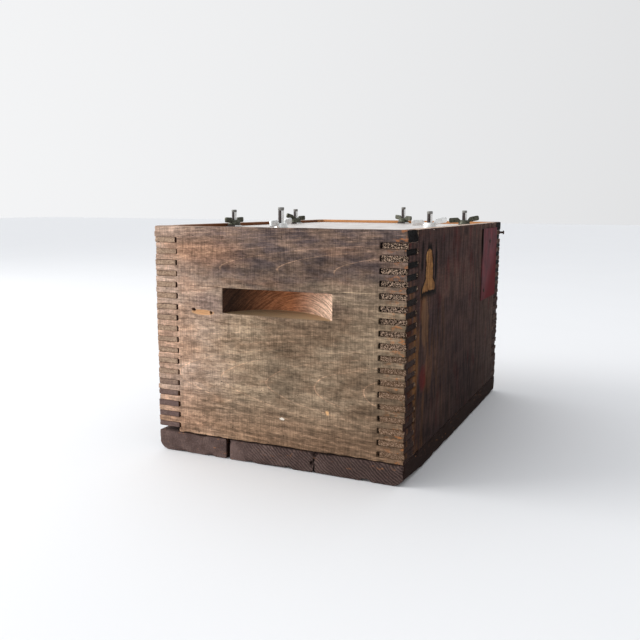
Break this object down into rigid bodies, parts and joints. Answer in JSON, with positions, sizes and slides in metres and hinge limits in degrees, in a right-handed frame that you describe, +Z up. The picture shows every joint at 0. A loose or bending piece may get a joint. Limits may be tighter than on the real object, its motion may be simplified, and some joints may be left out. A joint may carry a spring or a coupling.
{
  "type": "insulation resistance tester",
  "caption": "Old wooden-cased insulation tester: finger-jointed box with scooped hand-holds, wing-nut cover, meter and hand generator inside.",
  "frame": {"origin": "middle of the case's underside, on the surface it stands on", "axes": "+Z up; +Y along the case's length, away from the hand-hold end shown; +X to the right along that end"},
  "size_m": [0.2336, 0.3462, 0.2147],
  "materials": {
    "case_end_wood": "old bare timber, worn varnish, grey-brown",
    "case_side_wood": "dark maroon-brown stain over timber, worn and patchy",
    "base_wood": "rough dark grey-brown board",
    "cover_sheet": "dull light grey sheet",
    "stud_steel": "plated steel, dulled",
    "wing_nut_dark": "dark olive-grey tarnished steel",
    "wing_nut_bright": "bright plated steel",
    "red_sheet": "worn dull red paint",
    "iron_nail": "rusty iron",
    "ebonite": "moulded black",
    "brass": "aged brass",
    "dial_card": "cream card",
    "inner_steel": "machined steel",
    "copper_winding": "varnished copper wire on iron",
    "magnet_steel": "blue-black magnet steel",
    "meter_glass": "clear flat glass",
    "cast_iron": "japanned casting"
  },
  "bodies": {
    "case": {"front_wall": "case_end_wood", "back_wall": "case_end_wood", "left_wall": "case_side_wood", "right_wall": "case_side_wood", "rim_front": "case_end_wood", "rim_back": "case_end_wood", "rim_left": "case_side_wood", "rim_right": "case_side_wood", "bottom_board_left": "base_wood", "bottom_board_right": "base_wood", "stud_left_front": "stud_steel", "stud_left_rear": "stud_steel", "stud_front": "stud_steel", "stud_rear": "stud_steel", "stud_right_front": "stud_steel", "stud_right_rear": "stud_steel", "side_plate": "red_sheet", "side_plate_tack_upper": "iron_nail", "side_plate_tack_lower": "iron_nail", "corner_nail": "iron_nail", "cleat_left": "base_wood", "cleat_right": "base_wood", "instrument_panel": "ebonite", "panel_screw_front_left": "brass", "panel_screw_front_right": "brass", "panel_screw_rear_left": "brass", "panel_screw_rear_right": "brass", "terminal_line": "brass", "terminal_earth": "brass", "meter_case": "ebonite", "meter_dial": "dial_card", "meter_magnet": "magnet_steel", "meter_glass": "meter_glass", "meter_bezel": "brass", "generator_frame": "cast_iron", "field_magnet": "magnet_steel"},
    "cover": {"cover_plate": "cover_sheet", "washer_left_front": "stud_steel", "washer_left_rear": "stud_steel", "washer_front": "stud_steel", "washer_rear": "stud_steel", "washer_right_front": "stud_steel", "washer_right_rear": "stud_steel"},
    "crank": {"crank_shaft": "inner_steel", "crank_arm": "inner_steel", "drive_gear": "brass"},
    "knob": {"crank_knob": "ebonite"},
    "generator_rotor": {"armature": "copper_winding", "armature_shaft": "inner_steel", "pinion": "inner_steel"},
    "pointer": {"meter_pointer": "inner_steel", "moving_coil": "copper_winding"},
    "nut_left_front": {"wing_nut_left_front": "wing_nut_dark"},
    "nut_left_rear": {"wing_nut_left_rear": "wing_nut_dark"},
    "nut_front": {"wing_nut_front": "wing_nut_bright"},
    "nut_rear": {"wing_nut_rear": "wing_nut_dark"},
    "nut_right_front": {"wing_nut_right_front": "wing_nut_bright"},
    "nut_right_rear": {"wing_nut_right_rear": "wing_nut_dark"},
    "terminal_line_knob": {"terminal_nut_line": "brass"},
    "terminal_earth_knob": {"terminal_nut_earth": "brass"}
  },
  "joints": [
    {"name": "cover_lift", "type": "slide", "parent": "case", "child": "cover", "axis": [0, 0, 1], "range_m": [0, 0.12]},
    {"name": "nut_left_front_turn", "type": "hinge", "parent": "cover", "child": "nut_left_front", "pos_m": [-0.098, -0.066, 0.2], "axis": [0, 0, 1], "continuous": true},
    {"name": "nut_left_rear_turn", "type": "hinge", "parent": "cover", "child": "nut_left_rear", "pos_m": [-0.0962, 0.066, 0.2], "axis": [0, 0, 1], "continuous": true},
    {"name": "nut_front_turn", "type": "hinge", "parent": "cover", "child": "nut_front", "pos_m": [0, -0.15625, 0.2], "axis": [0, 0, 1], "continuous": true},
    {"name": "nut_rear_turn", "type": "hinge", "parent": "cover", "child": "nut_rear", "pos_m": [0.0022, 0.15625, 0.2], "axis": [0, 0, 1], "continuous": true},
    {"name": "nut_right_front_turn", "type": "hinge", "parent": "cover", "child": "nut_right_front", "pos_m": [0.0988, -0.066, 0.2], "axis": [0, 0, 1], "continuous": true},
    {"name": "nut_right_rear_turn", "type": "hinge", "parent": "cover", "child": "nut_right_rear", "pos_m": [0.0974, 0.066, 0.2], "axis": [0, 0, 1], "continuous": true},
    {"name": "crank_turn", "type": "hinge", "parent": "case", "child": "crank", "pos_m": [0, 0.052, 0.15], "axis": [0, 0, 1], "continuous": true},
    {"name": "knob_spin", "type": "hinge", "parent": "crank", "child": "knob", "pos_m": [0, 0.114, 0.17], "axis": [0, 0, 1], "continuous": true},
    {"name": "generator_spin", "type": "hinge", "parent": "case", "child": "generator_rotor", "pos_m": [0.045, 0.052, 0.08], "axis": [0, 0, 1], "continuous": true},
    {"name": "pointer_swing", "type": "hinge", "parent": "case", "child": "pointer", "pos_m": [0, -0.092, 0.13], "axis": [0, 0, 1], "range_deg": [-38, 38]},
    {"name": "terminal_line_turn", "type": "hinge", "parent": "case", "child": "terminal_line_knob", "pos_m": [-0.072, -0.122, 0.16], "axis": [0, 0, 1], "continuous": true},
    {"name": "terminal_earth_turn", "type": "hinge", "parent": "case", "child": "terminal_earth_knob", "pos_m": [0.072, -0.122, 0.16], "axis": [0, 0, 1], "continuous": true}
  ],
  "couplings": [
    {"joint": "generator_spin", "follows": "crank_turn", "ratio": -5}
  ]
}
